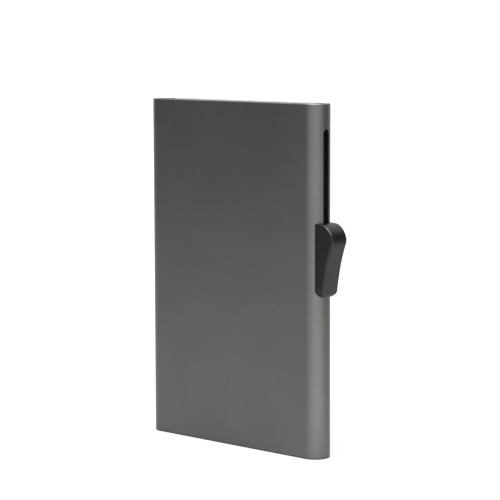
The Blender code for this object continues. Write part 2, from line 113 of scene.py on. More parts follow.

# Thumb piece, with its rub marks and painted highlights set at shares of its height
SADDLE_GAP = 0.00015
KNOB_WIDTH = 0.00686
KNOB_DRAFT = 2.6
KNOB_REACH = 0.00512
KNOB_DOME_RADIUS = 0.00546
KNOB_TOE_REACH = 0.00175
KNOB_TOE_RADIUS = 0.0016
KNOB_FACE_BEND = 10.9
KNOB_TOE_CORNER = 0.00205
KNOB_TOP_CORNER = 0.0005
KNOB_EDGE_HEIGHTS = (0.0, 0.2, 0.5, 0.66, 0.8, 1.0)
KNOB_EDGE_RADII = (0.001, 0.0012, 0.0015, 0.00155, 0.00055, 0.00045)
KNOB_EDGE_LIMIT = 0.75
# The edge rub is mostly a painted highlight: a pale edge colour on the dome's arc, where the top lamp
# glints
KNOB_RUB_AND_HIGHLIGHT_HEIGHTS = (0.0, 0.84, 0.9, 0.94, 0.97, 1.0)
KNOB_RUB_AND_HIGHLIGHT_SHARES = (0.0, 0.0, 0.8, 1.0, 0.3, 0.1)
# The thumb rub is partly wear and partly a painted sheen that lightens the thumb face
KNOB_THUMB_RUB_AND_SHEEN_HEIGHTS = (0.0, 0.04, 0.7, 0.84, 1.0)
KNOB_THUMB_RUB_AND_SHEEN_SHARES = (0.3, 1.0, 1.0, 0.0, 0.0)
KNOB_LAND = 0.00003
KNOB_TOE_STEPS = 14
KNOB_FACE_STEPS = 28
KNOB_DOME_STEPS = 42
KNOB_EDGE_STEPS = 7
KNOB_SADDLE_STEPS = 14
TONGUE_BOTTOM = 0.0496
TONGUE_TOP = 0.0661
TONGUE_SHOULDER = 0.0015
TONGUE_ROOT = 0.0006
BLADE_THICKNESS = 0.0018
BLADE_LOW_X = 0.02899
BLADE_HIGH_X = 0.03089
PIN_HOLE_RADIUS = 0.0005

# Leaf springs
LEAF_THICKNESS = 0.0002
LEAF_FOOT = 0.0012
LEAF_CORNER = 0.00005
LEAF_CORNER_STEPS = 3
LEAF_STEPS = 72

# Pins
PIN_CHAMFER = 0.0001
PIN_CROWN = 0.00003
PIN_FLAT_SHARE = 0.3
PIN_SIDES = 24
PIN_SEED = 4

# Felt strips
FELT_CORNER_RADIUS = 0.001
FELT_CORNER_STEPS = 4
FELT_EDGE_RADIUS = 0.00018
FELT_CELL = 0.0005
FELT_WAVE = 0.00004
FELT_WAVE_SIZE = 0.0016

# Nap: its fibres' rings are shares of their bend, length and radius
NAP_PER_SQUARE_METRE = 6e6
NAP_LENGTH = 0.00024
NAP_RADIUS = 0.000011
NAP_BEND = 0.4
NAP_RINGS = ((0, 0, 1), (0.25, 0.5, 0.8), (1, 1, 0.25))
NAP_LEAN = 0.9
NAP_SCALES = (0.5, 1.0)
NAP_FACING = 0.5
NAP_SEED = 7

# Softened copies: the frame's node, the piece, its body, its slot, its edges' radius and its lead-in
SOFTENED_PIECES = (
    ("left_mouth_insert", "left_insert", "case", "grey_moulding", 0.00012, 0.0024),
    ("right_mouth_insert", "right_insert", "case", "grey_moulding", 0.00012, 0.0006),
    ("bottom_cap", "base_plug", "case", "black_moulding", 0.00012, 0),
    ("left_guide_rail", "left_rail", "case", "grey_moulding", 0.0001, 0),
    ("slider_track", "right_track", "case", "grey_moulding", 0.0001, 0),
    ("runner_bar", "runner", "carriage", "acetal", 0.00008, 0),
    ("step_ejector", "stepped_ejector", "carriage", "acetal", 0.0001, 0),
    ("track_bumper_lower", "lower_bumper", "case", "rubber", 0.00015, 0),
    ("track_bumper_upper", "upper_bumper", "case", "rubber", 0.00015, 0),
)
FLAT_DEGREES = 1
BEVEL_DEGREES = 25
BEVEL_STEPS = 3
LEAD_IN_SLOPE = 0.5

# Shading: an edge sharper than this many degrees stays sharp
SHARP_DEGREES = 32
FELT_SHARP_DEGREES = 60
NAP_SHARP_DEGREES = 180

# Anodised aluminium. A mottling is given by the size of its spots, and a tone is a share of a colour.
ANODISED = (0.195, 0.195, 0.19)
# Bare metal for worn edges, also used as a painted highlight on the rim and base
BARE_ALUMINIUM_AND_HIGHLIGHT = (0.62, 0.62, 0.61)
CUT_ALUMINIUM = (0.65, 0.7, 0.79)
BLAST = {"size": 0.00012, "detail": 3}
BLAST_SHARE = 0.35
BLAST_TONE = 1.3
BLAST_DEPTH = 0.000006
BLAST_ROUGHNESS = (0.38, 0.44)
SPECKLE = {"size": 0.0005, "detail": 2, "start": (0.3, 0.1, 0)}
SPECKLE_SHARE = 0.5
SPECKLE_TONE = 0.88
SPECKLE_DEPTH = 0.00003
CLOUD = {"size": 0.014, "detail": 3, "start": (0, 0.4, 0.2)}
CLOUD_TONES = (0.96, 1.04)
TOUCH = {"size": 0.02, "detail": 4, "stretch": (1, 1, 0.6), "start": (0.7, 0, 0.1)}
TOUCH_ROUGHNESS = (-0.02, 0.03)
CUT_LINES = {"size": 0.00004, "detail": 1, "stretch": (0.05, 0.05, 1)}
CUT_ROUGHNESS = (0.2, 0.34)

# Wear and painted highlights on the sleeve's edges: how strong each is, and between which distances it
# comes and goes. The rim's light band is mostly a painted highlight, kept faint at the left end, and the
# base's light line is partly one.
RIM_WEAR_AND_HIGHLIGHT = 0.35
RIM_WEAR_AND_HIGHLIGHT_REACH = (RIM_EDGE_BREAK, 1.3 * RIM_EDGE_BREAK)
RIM_HIGHLIGHT_LEFT_SHARE = 0.1
RIM_HIGHLIGHT_TURN = 10 * RIM_EDGE_BREAK
BASE_WEAR_AND_HIGHLIGHT = 0.15
BASE_WEAR_AND_HIGHLIGHT_RISE = (0.5 * BASE_EDGE_RADIUS, BASE_EDGE_RADIUS)
BASE_WEAR_AND_HIGHLIGHT_FALL = (1.5 * BASE_EDGE_RADIUS, 2.5 * BASE_EDGE_RADIUS)
SLOT_WEAR = 0.1
SLOT_WEAR_REACH = (SLOT_HALF_WIDTH + RIM_EDGE_BREAK, SLOT_HALF_WIDTH + 3 * RIM_EDGE_BREAK)
WEAR_DEPTH = 2 * RIM_EDGE_BREAK
WEAR_SPECKLE = (0.1, 0.6)

# Mouldings: spark is the size of the fine texture, whose depths are shares of it
KNOB_BLACK = {"colour": (0.0032, 0.003, 0.0031), "roughness": 0.38, "spark": 0.00016}
KNOB_TINT = (1, 0.94, 0.97, 1)
# Rub marks as (mark, colour, smoothing): the edge's pale colour is a painted highlight, and the thumb
# face's colour is partly a painted sheen
KNOB_RUBS_AND_HIGHLIGHTS = (
    ("thumb_rub", (0.058, 0.051, 0.054), 0.02),
    ("edge_rub", (0.32, 0.31, 0.3), 0.18),
)
GREY_MOULDING = {"colour": (0.05, 0.05, 0.05), "roughness": 0.5, "spark": 0.0002}
ACETAL = {"colour": (0.6, 0.6, 0.57), "roughness": 0.36, "spark": 0.0002}
SPARK_DEPTH = 1 / 12
SPARK_ROUGHNESS = 0.05
FLOW = {"size": 0.006, "detail": 3, "stretch": (1, 1, 0.4), "start": (0.2, 0, 0.5)}
FLOW_TONES = (0.92, 1.08)
FLOW_DEPTH = 0.00002
FLOW_ROUGHNESS = 0.03
DUST = {"size": 0.0004, "detail": 4, "start": (0.5, 0.3, 0)}
DUST_SHARE = 0.5
DUST_RANGE = (0.55, 0.8)
DUST_TONE = 1.6
DUST_DEPTH = 1 / 8
RUB_DUST = (0.6, 1)

# Spring steel
STEEL_COLOURS = ((0.5, 0.5, 0.5), (0.62, 0.62, 0.61))
STEEL_LINES = {"size": 0.00005, "detail": 2, "stretch": (1, 1, 0.03)}
STEEL_LINE_DEPTH = 0.000003
STEEL_ROUGHNESS = (0.22, 0.32)
STAIN = {"size": 0.002, "detail": 4}
STAIN_COLOUR = (0.4, 0.37, 0.33)
STAIN_SHARE = 0.4
STAIN_RANGE = (0.5, 0.75)
STAIN_ROUGHNESS = (0, 0.08)

# Felt and rubber
FELT_COLOURS = ((0.018, 0.018, 0.018), (0.045, 0.044, 0.043))
FELT_FIBRES = {"size": 0.0001, "detail": 4, "stretch": (0.35, 1, 1)}
FELT_FIBRE_DEPTH = 0.00008
FELT_ROUGHNESS = (0.85, 0.98)
FELT_SHEEN = {"Sheen_Weight": 0.35, "Sheen_Roughness": 0.5, "Specular_IOR_Level": 0.2}
MATTED = {"size": 0.0011, "detail": 3}
MATTED_COLOUR = (0.06, 0.059, 0.057)
MATTED_SHARE = 0.5
MATTED_DEPTH = 0.00012
RUBBER_COLOURS = ((0.014, 0.014, 0.014), (0.032, 0.032, 0.031))
RUBBER_BLOOM = {"size": 0.0012, "detail": 4, "start": (0.4, 0, 0)}
RUBBER_FINE = {"size": 0.00015, "detail": 3}
RUBBER_FINE_DEPTH = 0.00001
RUBBER_ROUGHNESS = (0.7, 0.88)


def add_node(tree, kind, inputs=None, **settings):
    """A node with its settings and inputs; an input is a value, or an output socket to link from."""
    made = tree.nodes.new(kind)
    for name, value in settings.items():
        setattr(made, name, value)
    for name, value in (inputs or {}).items():
        for given in value if isinstance(value, list) else [value]:
            if isinstance(given, bpy.types.NodeSocket):
                tree.links.new(given, made.inputs[name])
            else:
                made.inputs[name].default_value = given
    return made


def output(tree, kind, inputs=None, which=0, **settings):
    """One output of a new node, which is its first unless another is named."""
    return add_node(tree, kind, inputs, **settings).outputs[which]


def maths(tree, operation, first, second=0.0):
    return output(tree, "ShaderNodeMath", {0: first, 1: second}, operation=operation)


def plus(tree, first, second):
    return maths(tree, "ADD", first, second)


def minus(tree, first, second):
    return maths(tree, "SUBTRACT", first, second)


def times(tree, first, second):
    return maths(tree, "MULTIPLY", first, second)


def larger(tree, first, second):
    return maths(tree, "MAXIMUM", first, second)


def vector(tree, x=0.0, y=0.0, z=0.0):
    return output(tree, "ShaderNodeCombineXYZ", {0: x, 1: y, 2: z})


def axes(tree, place):
    return add_node(tree, "ShaderNodeSeparateXYZ", {0: place}).outputs


def length(tree, arrow):
    return output(tree, "ShaderNodeVectorMath", {0: arrow}, "Value", operation="LENGTH")


def add_object(name, data):
    made = bpy.data.objects.new(name, data)
    bpy.context.scene.collection.objects.link(made)
    return made


# Patterns for the finishes. All of them read the piece's own place in metres.
def own_place(tree):
    return output(tree, "ShaderNodeTexCoord", which="Object")


def spread(tree, value, low, high, from_low=0.3, from_high=0.7):
    """A value between from_low and from_high, taken smoothly to one between low and high."""
    inputs = {"Value": value, "From Min": from_low, "From Max": from_high, "To Min": low, "To Max": high}
    return output(tree, "ShaderNodeMapRange", inputs, interpolation_type="SMOOTHSTEP")


def from_middle(tree, place):
    """How far a place is, level with it, from the line between the axes of the two round sides."""
    x, y, _ = axes(tree, place)
    along = output(tree, "ShaderNodeClamp", {"Value": x, "Min": -round_x, "Max": round_x})
    return length(tree, vector(tree, minus(tree, x, along), y))


def grain(tree, place, size, detail=2, stretch=(1, 1, 1), start=(0, 0, 0)):
    """Mottling whose spots are about this size, longer along an axis whose stretch is under 1."""
    moved = output(tree, "ShaderNodeMapping", {"Vector": place, "Location": start, "Scale": stretch})
    return output(tree, "ShaderNodeTexNoise", {"Vector": moved, "Scale": 1 / size, "Detail": detail})


def blend_colour(tree, mask, first, second):
    """Two colours mixed by a mask; a colour is three numbers or an output socket."""
    inputs = {0: mask}
    for socket, colour in ((6, first), (7, second)):
        inputs[socket] = colour if isinstance(colour, bpy.types.NodeSocket) else (*colour, 1)
    return output(tree, "ShaderNodeMix", inputs, 2, data_type="RGBA")


def blend_value(tree, mask, first, second):
    return output(tree, "ShaderNodeMix", {0: mask, 2: first, 3: second})


def toned(colour, *tones):
    """A colour at each of these shares of its brightness."""
    return [tuple(channel * tone for channel in colour) for tone in tones]


def grey(level):
    return (level, level, level, 1)


def relief(tree, height, depth, under=None):
    inputs = {"Height": height, "Distance": depth, "Strength": 1.0}
    if under:
        inputs["Normal"] = under
    return output(tree, "ShaderNodeBump", inputs)


def start_material(name):
    finish = bpy.data.materials.new(name)
    finish.use_nodes = True
    finish.node_tree.nodes.clear()
    return finish, finish.node_tree


def end_shader(tree, surface):
    add_node(tree, "ShaderNodeOutputMaterial", {"Surface": surface})


def end_material(tree, colour, roughness, normal, **constants):
    """The shader itself. Constants go straight on its sockets, under their own names."""
    inputs = {"Base Color": colour, "Roughness": roughness, "Normal": normal}
    inputs.update({name.replace("_", " "): value for name, value in constants.items()})
    end_shader(tree, output(tree, "ShaderNodeBsdfPrincipled", inputs))


# Camera and studio
def direction(azimuth, elevation):
    """The way from the case towards an azimuth and an elevation, in degrees. Azimuth 0 is -Y, 90 is +X."""
    turn, lift = math.radians(azimuth), math.radians(elevation)
    flat = math.cos(lift)
    return Vector((math.sin(turn) * flat, -math.cos(turn) * flat, math.sin(lift)))


def set_camera():
    back = direction(CAMERA_AZIMUTH, CAMERA_ELEVATION)
    turned = (-back).to_track_quat("-Z", "Y").to_matrix()
    rolled = turned @ Matrix.Rotation(math.radians(CAMERA_ROLL), 3, "Z")
    data = bpy.data.cameras.new("camera")
    data.sensor_width = CAMERA_SENSOR
    data.lens = CAMERA_LENS
    data.shift_x, data.shift_y = CAMERA_SHIFT
    data.clip_start, data.clip_end = CAMERA_CLIP
    camera = add_object("camera", data)
    camera.matrix_world = Matrix.Translation(CAMERA_PLACE) @ rolled.to_4x4()
    bpy.context.scene.camera = camera


def seen_directly(tree):
    """1 for what the camera, a gloss or a clear piece shows, and 0 for the light that falls on things."""
    path = add_node(tree, "ShaderNodeLightPath").outputs
    seen = larger(tree, path["Is Camera Ray"], path["Is Glossy Ray"])
    return larger(tree, seen, path["Is Transmission Ray"])


def set_world():
    """White where it is seen, and a weaker even light where it falls on things."""
    world = bpy.data.worlds.new("studio")
    world.use_nodes = True
    tree = world.node_tree
    tree.nodes.clear()
    fill, shown = (
        output(tree, "ShaderNodeBackground", {"Color": grey(1), "Strength": strength})
        for strength in (FILL_LIGHT, WHITE_SEEN)
    )
    mixed = output(tree, "ShaderNodeMixShader", {0: seen_directly(tree), 1: fill, 2: shown})
    add_node(tree, "ShaderNodeOutputWorld", {"Surface": mixed})
    bpy.context.scene.world = world


def add_softbox(name, azimuth, elevation, distance, size, radiance):
    data = bpy.data.lights.new(name, "AREA")
    data.shape = "RECTANGLE"
    data.size, data.size_y = size
    data.energy = radiance * math.pi * size[0] * size[1]
    way = direction(azimuth, elevation)
    facing = way.to_track_quat("Z", "Y").to_matrix().to_4x4()
    lamp = add_object(name, data)
    lamp.matrix_world = Matrix.Translation(way * distance) @ facing
    lamp.visible_camera = False


def add_flat(name, corners, finish):
    mesh = bpy.data.meshes.new(name)
    mesh.from_pydata(corners, [], [range(len(corners))])
    mesh.materials.append(finish)
    flat = add_object(name, mesh)
    return flat


def add_floor():
    """Paper that looks white away from the case and keeps the case's shadow near it.

    A gloss sees painted light on the paper where a reflector card and a glow would be, and painted shade,
    black, in the crevice at the base.
    """
    finish, tree = start_material("floor_paper")
    place = own_place(tree)
    path = add_node(tree, "ShaderNodeLightPath").outputs
    card = tuple(direction(CARD_AZIMUTH, 0) * CARD_DISTANCE)
    away, from_card, from_glow = (
        output(tree, "ShaderNodeVectorMath", {0: place, 1: point}, "Value", operation="DISTANCE")
        for point in ((0, 0, 0), card, GLOW_CENTRE)
    )
    seen = larger(tree, path["Is Camera Ray"], path["Is Transmission Ray"])
    shown = times(tree, seen, spread(tree, away, *FLOOR_LIFT, *FLOOR_LIFT_REACH))
    # Painted light on the paper, seen in reflections only
    card_light = spread(tree, from_card, *CARD_LIGHT, *CARD_REACH)
    bounce = plus(tree, card_light, spread(tree, from_glow, *GLOW_LIGHT, *GLOW_REACH))
    mirrored = times(tree, path["Is Glossy Ray"], bounce)
    glow = output(tree, "ShaderNodeEmission", {"Strength": plus(tree, shown, mirrored)})
    paper = output(tree, "ShaderNodeBsdfDiffuse", {"Color": grey(FLOOR_COLOUR)})
    lit = output(tree, "ShaderNodeAddShader", {0: paper, 1: glow})
    # Painted shade: gloss sees the paper black right by the case's base
    from_case = minus(tree, from_middle(tree, place), half_depth)
    contact_shade = spread(tree, from_case, 1, 0, 0, FLOOR_CONTACT_SHADE)
    dark = times(tree, path["Is Glossy Ray"], contact_shade)
    black = output(tree, "ShaderNodeBsdfDiffuse", {"Color": grey(0)})
    end_shader(tree, output(tree, "ShaderNodeMixShader", {0: dark, 1: lit, 2: black}))
    side, level = FLOOR_HALF, -CLEAR
    corners = [(-side, -side, level), (side, -side, level), (side, side, level), (-side, side, level)]
    add_flat("floor", corners, finish)


def add_shade(name, azimuth, distance, half_span, bottom, top, colour):
    """A dark upright board that the metal reflects, out of the camera's sight."""
    finish, tree = start_material(name + "_board")
    end_shader(tree, output(tree, "ShaderNodeBsdfDiffuse", {"Color": grey(colour)}))
    middle = direction(azimuth, 0) * distance
    along = direction(azimuth + 90, 0) * half_span
    first, last = middle - along, middle + along
    low, high = Vector((0, 0, bottom)), Vector((0, 0, top))
    corners = [first + low, last + low, last + high, first + high]
    add_flat(name, corners, finish).visible_camera = False


# Finishes
def sleeve_wear_and_highlights(tree, place, inset, below_top, speckle):
    """How worn the sleeve is along its rim, its base and its slot, in specks. The rim's band is mostly a
    painted highlight, strongest at the right end, and the base's band is partly one.
    """
    x, y, z = axes(tree, place)
    # Painted highlight: the rim's band fades to a tenth of its strength towards the left end
    highlight_to_right = spread(tree, x, RIM_HIGHLIGHT_LEFT_SHARE, 1, round_x - RIM_HIGHLIGHT_TURN, round_x)
    rim = times(tree, spread(tree, below_top, RIM_WEAR_AND_HIGHLIGHT, 0, *RIM_WEAR_AND_HIGHLIGHT_REACH), highlight_to_right)
    # Partly a painted highlight: a light line just above the base's edge
    base_rise = spread(tree, z, 0, BASE_WEAR_AND_HIGHLIGHT, *BASE_WEAR_AND_HIGHLIGHT_RISE)
    base = times(tree, base_rise, spread(tree, z, 1, 0, *BASE_WEAR_AND_HIGHLIGHT_FALL))
    straight = (SLOT_TOP - SLOT_BOTTOM) / 2 - SLOT_HALF_WIDTH
    lifted = minus(tree, z, (SLOT_BOTTOM + SLOT_TOP) / 2)
    past = larger(tree, minus(tree, maths(tree, "ABSOLUTE", lifted), straight), 0)
    slot = spread(tree, length(tree, vector(tree, past, y)), SLOT_WEAR, 0, *SLOT_WEAR_REACH)
    slot = times(tree, slot, maths(tree, "GREATER_THAN", x, round_x))
    edges = larger(tree, rim, larger(tree, base, slot))
    outer = times(tree, edges, maths(tree, "LESS_THAN", inset, WEAR_DEPTH))
    return times(tree, outer, spread(tree, speckle, *WEAR_SPECKLE))


def make_anodised():
    """Fine blasted and anodised aluminium, with a bright cut inside the mouth and worn edges, which also
    carry painted highlights along the rim and base.
    """
    finish, tree = start_material("anodised_aluminium")
    place = own_place(tree)
    blast, speckle, cloud, touch, lines = (
        grain(tree, place, **kind) for kind in (BLAST, SPECKLE, CLOUD, TOUCH, CUT_LINES)
    )
    inset = minus(tree, half_depth, from_middle(tree, place))
    below_top = minus(tree, case_height, axes(tree, place)[2])
    inside = maths(tree, "GREATER_THAN", inset, WALL - MOUTH_CHAMFER - CLEAR)
    high_up = maths(tree, "LESS_THAN", below_top, MOUTH_CHAMFER + CLEAR)
    cut = times(tree, inside, high_up)
    worn = sleeve_wear_and_highlights(tree, place, inset, below_top, speckle)
    dark, light = toned(ANODISED, SPECKLE_TONE, BLAST_TONE)
    colour = blend_colour(tree, spread(tree, cloud, 0, 1), *toned(ANODISED, *CLOUD_TONES))
    colour = blend_colour(tree, spread(tree, speckle, 0, SPECKLE_SHARE), colour, dark)
    colour = blend_colour(tree, spread(tree, blast, 0, BLAST_SHARE), colour, light)
    # Worn edges and painted highlights take the bare metal's lighter colour
    colour = blend_colour(tree, worn, colour, BARE_ALUMINIUM_AND_HIGHLIGHT)
    colour = blend_colour(tree, cut, colour, CUT_ALUMINIUM)
    fine = spread(tree, blast, *BLAST_ROUGHNESS)
    rough = plus(tree, fine, spread(tree, touch, *TOUCH_ROUGHNESS))
    rough = blend_value(tree, cut, rough, spread(tree, lines, *CUT_ROUGHNESS))
    normal = relief(tree, blast, BLAST_DEPTH, relief(tree, speckle, SPECKLE_DEPTH))
    end_material(tree, colour, rough, normal, Metallic=1.0)
    return finish


def make_moulding(name, colour, roughness, spark, rubs_and_highlights=(), **constants):
    """A moulded plastic with a fine texture, flow clouds, dust and rub marks, as (mark, colour, smoothing);
    a mark's colour may also be a painted highlight or sheen.
    """
    finish, tree = start_material(name)
    place = own_place(tree)
    texture = grain(tree, place, spark)
    flow, dust = grain(tree, place, **FLOW), grain(tree, place, **DUST)
    dusty = spread(tree, dust, 0, DUST_SHARE, *DUST_RANGE)
    tint = blend_colour(tree, spread(tree, flow, 0, 1), *toned(colour, *FLOW_TONES))
    tint = blend_colour(tree, dusty, tint, *toned(colour, DUST_TONE))
    fine = spread(tree, texture, roughness - SPARK_ROUGHNESS, roughness + SPARK_ROUGHNESS)
    rough = plus(tree, fine, spread(tree, flow, -FLOW_ROUGHNESS, FLOW_ROUGHNESS))
    # Rub marks lighten the colour; on the thumb piece they are partly painted highlight and painted sheen
    for mark, rub_and_highlight_colour, smoothing in rubs_and_highlights:
        worn = output(tree, "ShaderNodeAttribute", which="Fac", attribute_name=mark)
        worn = times(tree, worn, spread(tree, dust, *RUB_DUST))
        tint = blend_colour(tree, worn, tint, rub_and_highlight_colour)
        rough = blend_value(tree, worn, rough, roughness - smoothing)
    normal = relief(tree, texture, spark * SPARK_DEPTH, relief(tree, flow, FLOW_DEPTH))
    normal = relief(tree, dust, spark * DUST_DEPTH, normal)
    end_material(tree, tint, rough, normal, **constants)
    return finish


def make_steel():
    """Bright rolled or ground steel with fine lines along one way, and faint stains."""
    finish, tree = start_material("spring_steel")
    place = own_place(tree)
    lines, stain = grain(tree, place, **STEEL_LINES), grain(tree, place, **STAIN)
    colour = blend_colour(tree, spread(tree, lines, 0, 1), *STEEL_COLOURS)
    colour = blend_colour(tree, spread(tree, stain, 0, STAIN_SHARE, *STAIN_RANGE), colour, STAIN_COLOUR)
    fine = spread(tree, lines, *STEEL_ROUGHNESS)
    rough = plus(tree, fine, spread(tree, stain, *STAIN_ROUGHNESS))
    end_material(tree, colour, rough, relief(tree, lines, STEEL_LINE_DEPTH), Metallic=1.0)
    return finish


def make_felt():
    finish, tree = start_material("felt")
    place = own_place(tree)
    fibres, matted = grain(tree, place, **FELT_FIBRES), grain(tree, place, **MATTED)
    colour = blend_colour(tree, spread(tree, fibres, 0, 1), *FELT_COLOURS)
    colour = blend_colour(tree, spread(tree, matted, 0, MATTED_SHARE), colour, MATTED_COLOUR)
    normal = relief(tree, fibres, FELT_FIBRE_DEPTH, relief(tree, matted, MATTED_DEPTH))
    end_material(tree, colour, spread(tree, fibres, *FELT_ROUGHNESS), normal, **FELT_SHEEN)
    return finish


def make_rubber():
    finish, tree = start_material("rubber")
    place = own_place(tree)
    fine, bloom = grain(tree, place, **RUBBER_FINE), grain(tree, place, **RUBBER_BLOOM)
    colour = blend_colour(tree, spread(tree, bloom, 0, 1), *RUBBER_COLOURS)
    normal = relief(tree, fine, RUBBER_FINE_DEPTH)
    end_material(tree, colour, spread(tree, fine, *RUBBER_ROUGHNESS), normal)
    return finish


# Shapes
def arc(centre, radius, start, end, steps):
    """Points on an arc from start to end, in degrees, both ends included."""
    angles = [math.radians(start + (end - start) * i / steps) for i in range(steps + 1)]
    return [(centre[0] + radius * math.cos(a), centre[1] + radius * math.sin(a)) for a in angles]


def circle(centre, radius, sides):
    return arc(centre, radius, 0, 360, sides)[:-1]


def corner_inset(distance, radius):
    """How far a rounded corner has drawn in at this distance from the end."""
    distance = max(distance, 0)
    if distance >= radius:
        return 0
    return radius - math.sqrt(radius**2 - (radius - distance) ** 2)


def at_height(share, heights, values):
    """A value that goes smoothly through the values set at these shares of the thumb piece's height."""
    stations = list(zip(heights, values))
    for (low, first), (high, last) in zip(stations, stations[1:]):
        if share <= high:
            part = (share - low) / (high - low)
            return first + (last - first) * part**2 * (3 - 2 * part)
    return values[-1]


def mesh_from(bm):
    """A mesh whose faces all point outwards."""
    mesh = bpy.data.meshes.new("piece")
    bmesh.ops.recalc_face_normals(bm, faces=bm.faces)
    if bm.calc_volume(signed=True) < 0:
        bmesh.ops.reverse_faces(bm, faces=bm.faces)
    bm.to_mesh(mesh)
    bm.free()
    return mesh


def outward(mesh):
    """The mesh with its doubled points joined and all its faces turned outwards."""
    bm = bmesh.new()
    bm.from_mesh(mesh)
    bmesh.ops.remove_doubles(bm, verts=bm.verts, dist=CLEAR)
    return mesh_from(bm)


def loft(rings):
    """A closed shape through rings of equally many points, with a face on each end."""
    bm = bmesh.new()
    loops = [[bm.verts.new(point) for point in ring] for ring in rings]
    bm.faces.new(loops[0])
    bm.faces.new(loops[-1])
    for first, second in zip(loops, loops[1:]):
        for i in range(len(first)):
            j = (i + 1) % len(first)
            bm.faces.new((first[i], first[j], second[j], second[i]))
    return bm


def slab(outline, low, high):
    """An outline given as (x, z), pushed through along Y."""
    return mesh_from(loft([[(x, y, z) for x, z in outline] for y in (low, high)]))


def combined(base, parts):
    """A mesh with others joined to it or cut from it, given as (operation, mesh)."""
    whole = add_object("whole", base)
    helpers = []
    for operation, mesh in parts:
        helper = add_object("helper", mesh)
        helpers.append(helper)
        boolean = whole.modifiers.new("boolean", "BOOLEAN")
        boolean.operation = operation
        boolean.object = helper
    graph = bpy.context.evaluated_depsgraph_get()
    mesh = bpy.data.meshes.new_from_object(whole.evaluated_get(graph))
    for helper in [whole, *helpers]:
        bpy.data.objects.remove(helper)
    return mesh


def add_piece(name, mesh, finish, body, replaced, sharp=SHARP_DEGREES):
    """A finished piece of the case: shaded, given its finish, and set on the body that carries it."""
    mesh.name = name
    mesh.materials.clear()
    mesh.materials.append(finish)
    mesh.shade_smooth()
    mesh.set_sharp_from_angle(angle=math.radians(sharp))
    piece = add_object(name, mesh)
    weights = piece.modifiers.new("normals", "WEIGHTED_NORMAL")
    weights.keep_sharp = True
    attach(piece, body)
    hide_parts(*replaced)
    return piece


# Geometry trees
def geometry_tree(name, **kinds):
    """A geometry tree and its input sockets, which are named by the kind of value that they take."""
    tree = bpy.data.node_groups.new(name, "GeometryNodeTree")
    for kind, labels in kinds.items():
        for label in labels:
            tree.interface.new_socket(label, in_out="INPUT", socket_type="NodeSocket" + kind)
    tree.interface.new_socket("Geometry", in_out="OUTPUT", socket_type="NodeSocketGeometry")
    return tree, tree.nodes.new("NodeGroupInput").outputs


def end_tree(tree, geometry, finish):
    real = output(tree, "GeometryNodeRealizeInstances", {"Geometry": geometry})
    dressed = output(tree, "GeometryNodeSetMaterial", {"Geometry": real, "Material": finish})
    add_node(tree, "NodeGroupOutput", {0: dressed})


def grow(tree, values, base=None):
    """The plain mesh that a tree makes from these values, given by the inputs' names."""
    maker = add_object("maker", base or bpy.data.meshes.new("maker"))
    modifier = maker.modifiers.new(tree.name, "NODES")
    modifier.node_group = tree
    for item in tree.interface.items_tree:
        if item.in_out == "INPUT" and item.name in values:
            modifier[item.identifier] = values[item.name]
    graph = bpy.context.evaluated_depsgraph_get()
    mesh = bpy.data.meshes.new_from_object(maker.evaluated_get(graph))
    bpy.data.objects.remove(maker)
    return mesh


def rounded_rectangle(tree, width, height, radius, steps):
    sides = {"Width": width, "Height": height}
    square = output(tree, "GeometryNodeCurvePrimitiveQuadrilateral", sides)
    corners = {"Curve": square, "Count": steps, "Radius": radius, "Limit Radius": True}
    return output(tree, "GeometryNodeFilletCurve", corners, mode="POLY")


def with_normal(tree, curve, normal=None):
    """A curve whose sections stand upright, or face the way that is given."""
    if normal is None:
        return output(tree, "GeometryNodeSetCurveNormal", {"Curve": curve}, mode="Z_UP")
    return output(tree, "GeometryNodeSetCurveNormal", {"Curve": curve, "Normal": normal}, mode="FREE")


def sweep(tree, path, section, caps=False):
    inputs = {"Curve": path, "Profile Curve": section, "Fill Caps": caps}
    return output(tree, "GeometryNodeCurveToMesh", inputs)


def joined(tree, geometry):
    return output(tree, "GeometryNodeMergeByDistance", {"Geometry": geometry, "Distance": MERGE})


def set_position(tree, curve, position):
    return output(tree, "GeometryNodeSetPosition", {"Geometry": curve, "Position": position})


def shape_of(tree, source):
    return output(tree, "GeometryNodeObjectInfo", {"Object": source}, "Geometry")


# Sleeve
def wall_profile():
    """The sleeve's wall in section, as (inset, height), with its broken edges."""
    near_base = BASE_EDGE_RADIUS + SUPPORT_GAP
    below_rim = case_height - MOUTH_CHAMFER - SUPPORT_GAP
    return [
        *arc((BASE_EDGE_RADIUS, BASE_EDGE_RADIUS), BASE_EDGE_RADIUS, 270, 180, BASE_EDGE_STEPS),
        (0, near_base),
        (0, below_rim),
        (0, case_height - RIM_EDGE_BREAK),
        (RIM_EDGE_BREAK, case_height),
        (WALL - MOUTH_CHAMFER, case_height),
        (WALL, case_height - MOUTH_CHAMFER),
        (WALL, below_rim),
        (WALL, near_base),
        (WALL, 0),
    ]


